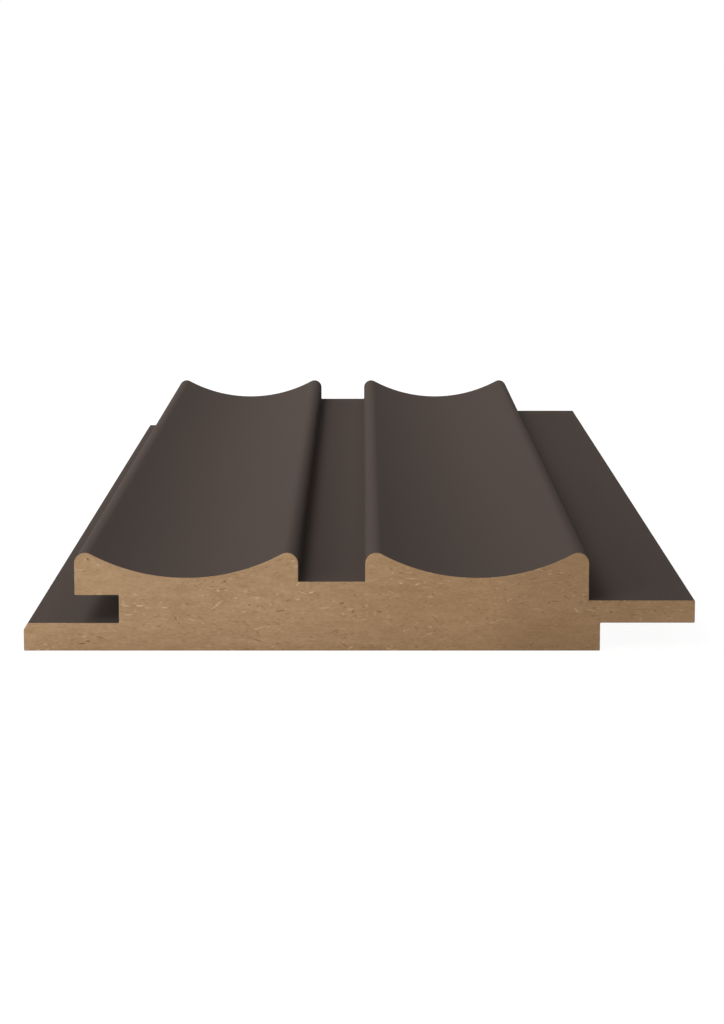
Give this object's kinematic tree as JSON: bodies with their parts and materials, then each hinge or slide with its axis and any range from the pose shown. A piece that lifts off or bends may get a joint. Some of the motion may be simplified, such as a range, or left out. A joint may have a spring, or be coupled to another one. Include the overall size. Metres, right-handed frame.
{
  "type": "mdf wall panel",
  "caption": "Short length of moulded MDF wall panel with hollow fluted ribs, flat channels, a grooved edge with a long lip and a tongued edge that joins the next panel.",
  "frame": {"origin": "on the flat back, in the middle of the box round the whole panel", "axes": "+X across the width towards the tongue, +Y along the length, +Z out of the back towards the fluted face; the panel lies on its back"},
  "size_m": [0.1218, 0.3, 0.018],
  "materials": {
    "coated_mdf": "matte"
  },
  "bodies": {
    "root": {"wall_panel": "coated_mdf"}
  },
  "joints": []
}
